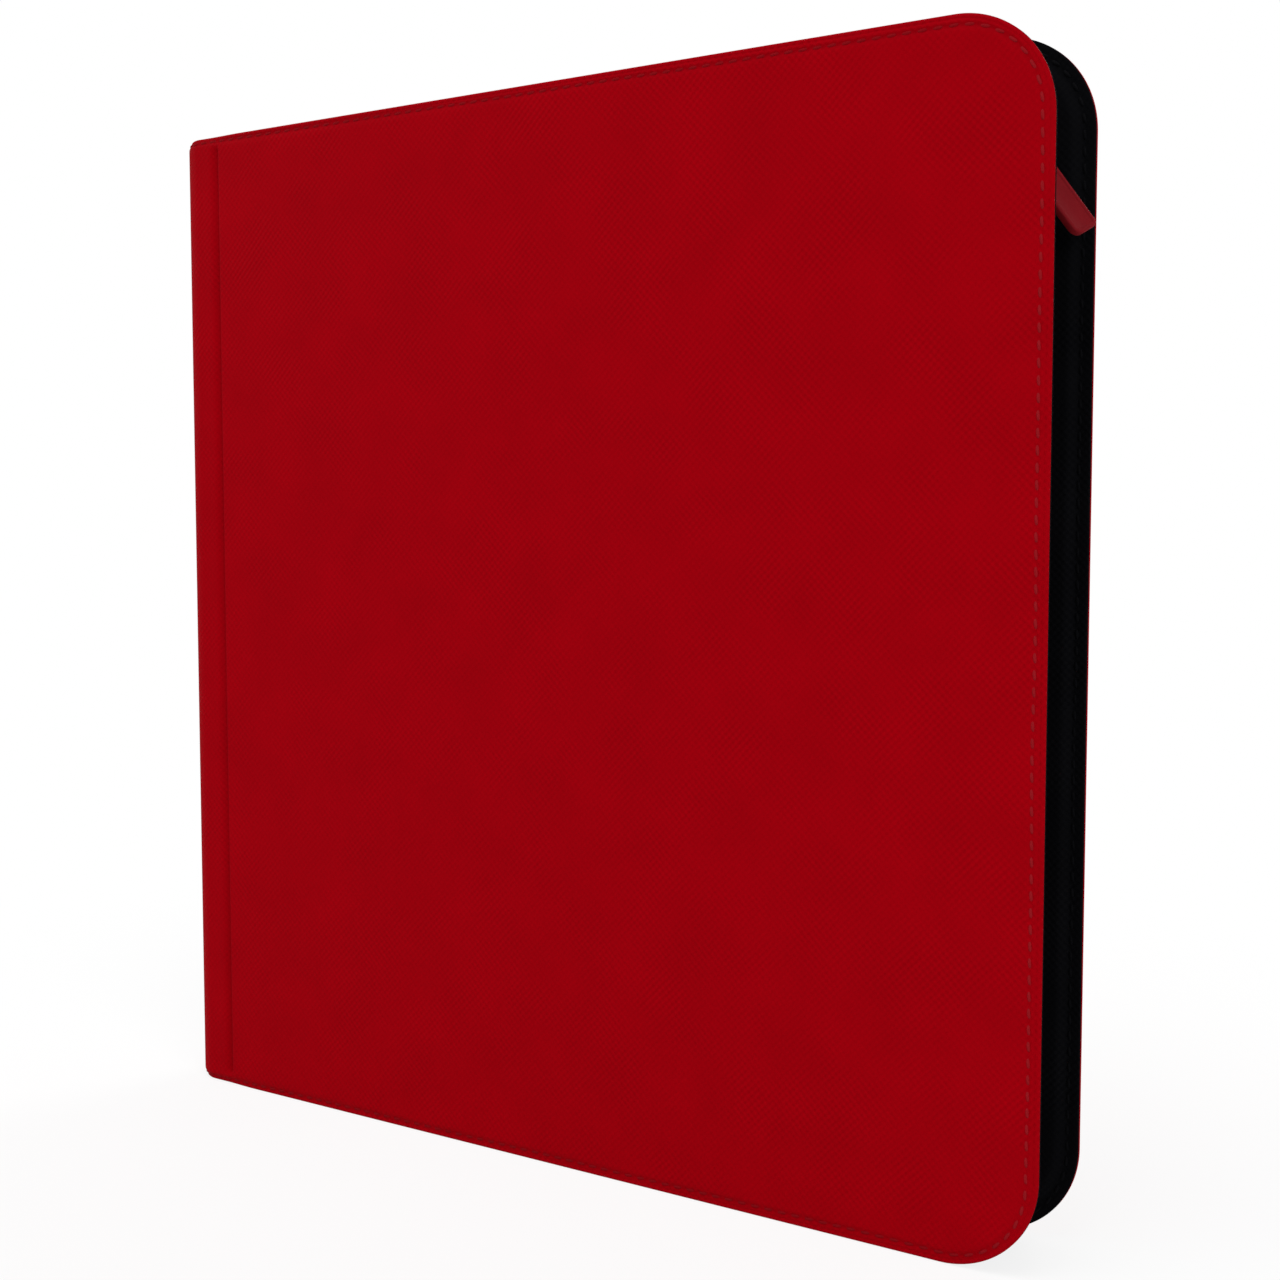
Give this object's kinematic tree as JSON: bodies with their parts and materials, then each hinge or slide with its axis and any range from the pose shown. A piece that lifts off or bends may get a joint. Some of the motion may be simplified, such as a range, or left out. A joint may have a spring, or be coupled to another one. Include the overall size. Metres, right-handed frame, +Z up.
{
  "type": "trading card binder",
  "caption": "Upright zip-around binder with grained padded covers, a rounded spine, a zip with a leaning rubber pull, and pocket pages for trading cards.",
  "frame": {"origin": "middle of the outer box, on the lower edge that the closed binder stands on", "axes": "+Z up, +X from the spine to the fore-edge, +Y from the front cover to the back cover"},
  "size_m": [0.334, 0.034, 0.345],
  "materials": {
    "red_skin": "fine cross-grain pressed coated fabric, satin",
    "black_lining": "grained coated fabric, satin",
    "foam": "thin foam sheet",
    "greyboard": "pressed grey board",
    "zip_tape": "woven tape",
    "zip_teeth": "moulded",
    "gunmetal": "dark plated",
    "red_rubber": "moulded soft rubber",
    "pocket_page": "clear film welded on black sheet",
    "binding_cloth": "sewn cloth block"
  },
  "bodies": {
    "back_cover": {"back_cover_skin": "red_skin", "back_cover_padding": "foam", "back_cover_board": "greyboard", "back_cover_lining": "black_lining", "back_zip_tape": "zip_tape", "back_zip_teeth": "zip_teeth", "back_zip_stop_upper": "gunmetal", "back_zip_stop_lower": "gunmetal"},
    "spine": {"spine_skin": "red_skin", "spine_padding": "foam", "spine_board": "greyboard", "spine_lining": "black_lining", "spine_gusset_upper": "zip_tape", "spine_gusset_lower": "zip_tape", "page_binding": "binding_cloth"},
    "front_cover": {"front_cover_skin": "red_skin", "front_cover_padding": "foam", "front_cover_board": "greyboard", "front_cover_lining": "black_lining", "front_zip_tape": "zip_tape", "front_zip_teeth": "zip_teeth", "front_zip_stop_upper": "gunmetal", "front_zip_stop_lower": "gunmetal"},
    "slider": {"slider_body": "gunmetal", "slider_crown": "gunmetal"},
    "pull": {"pull_link": "gunmetal", "pull_tab": "red_rubber"},
    "page_01": {"page_01": "pocket_page"},
    "page_02": {"page_02": "pocket_page"},
    "page_03": {"page_03": "pocket_page"},
    "page_04": {"page_04": "pocket_page"},
    "page_05": {"page_05": "pocket_page"},
    "page_06": {"page_06": "pocket_page"},
    "page_07": {"page_07": "pocket_page"},
    "page_08": {"page_08": "pocket_page"},
    "page_09": {"page_09": "pocket_page"},
    "page_10": {"page_10": "pocket_page"},
    "page_11": {"page_11": "pocket_page"},
    "page_12": {"page_12": "pocket_page"},
    "page_13": {"page_13": "pocket_page"},
    "page_14": {"page_14": "pocket_page"},
    "page_15": {"page_15": "pocket_page"},
    "page_16": {"page_16": "pocket_page"},
    "page_17": {"page_17": "pocket_page"},
    "page_18": {"page_18": "pocket_page"},
    "page_19": {"page_19": "pocket_page"},
    "page_20": {"page_20": "pocket_page"}
  },
  "joints": [
    {"name": "spine_fold", "type": "hinge", "parent": "back_cover", "child": "spine", "pos_m": [-0.14705, 0.017, 0.1725], "axis": [0, 0, -1], "range_deg": [0, 90]},
    {"name": "front_cover_open", "type": "hinge", "parent": "spine", "child": "front_cover", "pos_m": [-0.14705, -0.017, 0.1725], "axis": [0, 0, -1], "range_deg": [0, 90]},
    {"name": "zip_slide", "type": "slide", "parent": "back_cover", "child": "slider", "axis": [0, 0, 1], "range_m": [-0.27, 0.002]},
    {"name": "pull_swing", "type": "hinge", "parent": "slider", "child": "pull", "pos_m": [0.1546, -0.0037, 0.3062], "axis": [-0.169, -0.7937, -0.5844], "range_deg": [0, 85]},
    {"name": "page_01_turn", "type": "hinge", "parent": "spine", "child": "page_01", "pos_m": [-0.14106, -0.01188, 0.1725], "axis": [0, 0, -1], "range_deg": [0, 90]},
    {"name": "page_02_turn", "type": "hinge", "parent": "spine", "child": "page_02", "pos_m": [-0.14006, -0.01063, 0.1725], "axis": [0, 0, -1], "range_deg": [0, 90]},
    {"name": "page_03_turn", "type": "hinge", "parent": "spine", "child": "page_03", "pos_m": [-0.13906, -0.00937, 0.1725], "axis": [0, 0, -1], "range_deg": [0, 90]},
    {"name": "page_04_turn", "type": "hinge", "parent": "spine", "child": "page_04", "pos_m": [-0.13806, -0.00813, 0.1725], "axis": [0, 0, -1], "range_deg": [0, 90]},
    {"name": "page_05_turn", "type": "hinge", "parent": "spine", "child": "page_05", "pos_m": [-0.13706, -0.00688, 0.1725], "axis": [0, 0, -1], "range_deg": [0, 90]},
    {"name": "page_06_turn", "type": "hinge", "parent": "spine", "child": "page_06", "pos_m": [-0.13606, -0.00562, 0.1725], "axis": [0, 0, -1], "range_deg": [0, 90]},
    {"name": "page_07_turn", "type": "hinge", "parent": "spine", "child": "page_07", "pos_m": [-0.13506, -0.00438, 0.1725], "axis": [0, 0, -1], "range_deg": [0, 90]},
    {"name": "page_08_turn", "type": "hinge", "parent": "spine", "child": "page_08", "pos_m": [-0.13406, -0.00313, 0.1725], "axis": [0, 0, -1], "range_deg": [0, 90]},
    {"name": "page_09_turn", "type": "hinge", "parent": "spine", "child": "page_09", "pos_m": [-0.13306, -0.00187, 0.1725], "axis": [0, 0, -1], "range_deg": [0, 90]},
    {"name": "page_10_turn", "type": "hinge", "parent": "spine", "child": "page_10", "pos_m": [-0.13206, -0.00063, 0.1725], "axis": [0, 0, -1], "range_deg": [0, 90]},
    {"name": "page_11_turn", "type": "hinge", "parent": "spine", "child": "page_11", "pos_m": [-0.13206, 0.00063, 0.1725], "axis": [0, 0, -1], "range_deg": [-90, 0]},
    {"name": "page_12_turn", "type": "hinge", "parent": "spine", "child": "page_12", "pos_m": [-0.13306, 0.00187, 0.1725], "axis": [0, 0, -1], "range_deg": [-90, 0]},
    {"name": "page_13_turn", "type": "hinge", "parent": "spine", "child": "page_13", "pos_m": [-0.13406, 0.00313, 0.1725], "axis": [0, 0, -1], "range_deg": [-90, 0]},
    {"name": "page_14_turn", "type": "hinge", "parent": "spine", "child": "page_14", "pos_m": [-0.13506, 0.00438, 0.1725], "axis": [0, 0, -1], "range_deg": [-90, 0]},
    {"name": "page_15_turn", "type": "hinge", "parent": "spine", "child": "page_15", "pos_m": [-0.13606, 0.00562, 0.1725], "axis": [0, 0, -1], "range_deg": [-90, 0]},
    {"name": "page_16_turn", "type": "hinge", "parent": "spine", "child": "page_16", "pos_m": [-0.13706, 0.00688, 0.1725], "axis": [0, 0, -1], "range_deg": [-90, 0]},
    {"name": "page_17_turn", "type": "hinge", "parent": "spine", "child": "page_17", "pos_m": [-0.13806, 0.00813, 0.1725], "axis": [0, 0, -1], "range_deg": [-90, 0]},
    {"name": "page_18_turn", "type": "hinge", "parent": "spine", "child": "page_18", "pos_m": [-0.13906, 0.00937, 0.1725], "axis": [0, 0, -1], "range_deg": [-90, 0]},
    {"name": "page_19_turn", "type": "hinge", "parent": "spine", "child": "page_19", "pos_m": [-0.14006, 0.01063, 0.1725], "axis": [0, 0, -1], "range_deg": [-90, 0]},
    {"name": "page_20_turn", "type": "hinge", "parent": "spine", "child": "page_20", "pos_m": [-0.14106, 0.01188, 0.1725], "axis": [0, 0, -1], "range_deg": [-90, 0]}
  ],
  "couplings": [
    {"joint": "page_01_turn", "follows": "front_cover_open", "ratio": 0.95},
    {"joint": "page_02_turn", "follows": "front_cover_open", "ratio": 0.927},
    {"joint": "page_03_turn", "follows": "front_cover_open", "ratio": 0.904},
    {"joint": "page_04_turn", "follows": "front_cover_open", "ratio": 0.881},
    {"joint": "page_05_turn", "follows": "front_cover_open", "ratio": 0.858},
    {"joint": "page_06_turn", "follows": "front_cover_open", "ratio": 0.835},
    {"joint": "page_07_turn", "follows": "front_cover_open", "ratio": 0.812},
    {"joint": "page_08_turn", "follows": "front_cover_open", "ratio": 0.789},
    {"joint": "page_09_turn", "follows": "front_cover_open", "ratio": 0.766},
    {"joint": "page_10_turn", "follows": "front_cover_open", "ratio": 0.743},
    {"joint": "page_11_turn", "follows": "spine_fold", "ratio": -0.743},
    {"joint": "page_12_turn", "follows": "spine_fold", "ratio": -0.766},
    {"joint": "page_13_turn", "follows": "spine_fold", "ratio": -0.789},
    {"joint": "page_14_turn", "follows": "spine_fold", "ratio": -0.812},
    {"joint": "page_15_turn", "follows": "spine_fold", "ratio": -0.835},
    {"joint": "page_16_turn", "follows": "spine_fold", "ratio": -0.858},
    {"joint": "page_17_turn", "follows": "spine_fold", "ratio": -0.881},
    {"joint": "page_18_turn", "follows": "spine_fold", "ratio": -0.904},
    {"joint": "page_19_turn", "follows": "spine_fold", "ratio": -0.927},
    {"joint": "page_20_turn", "follows": "spine_fold", "ratio": -0.95}
  ]
}
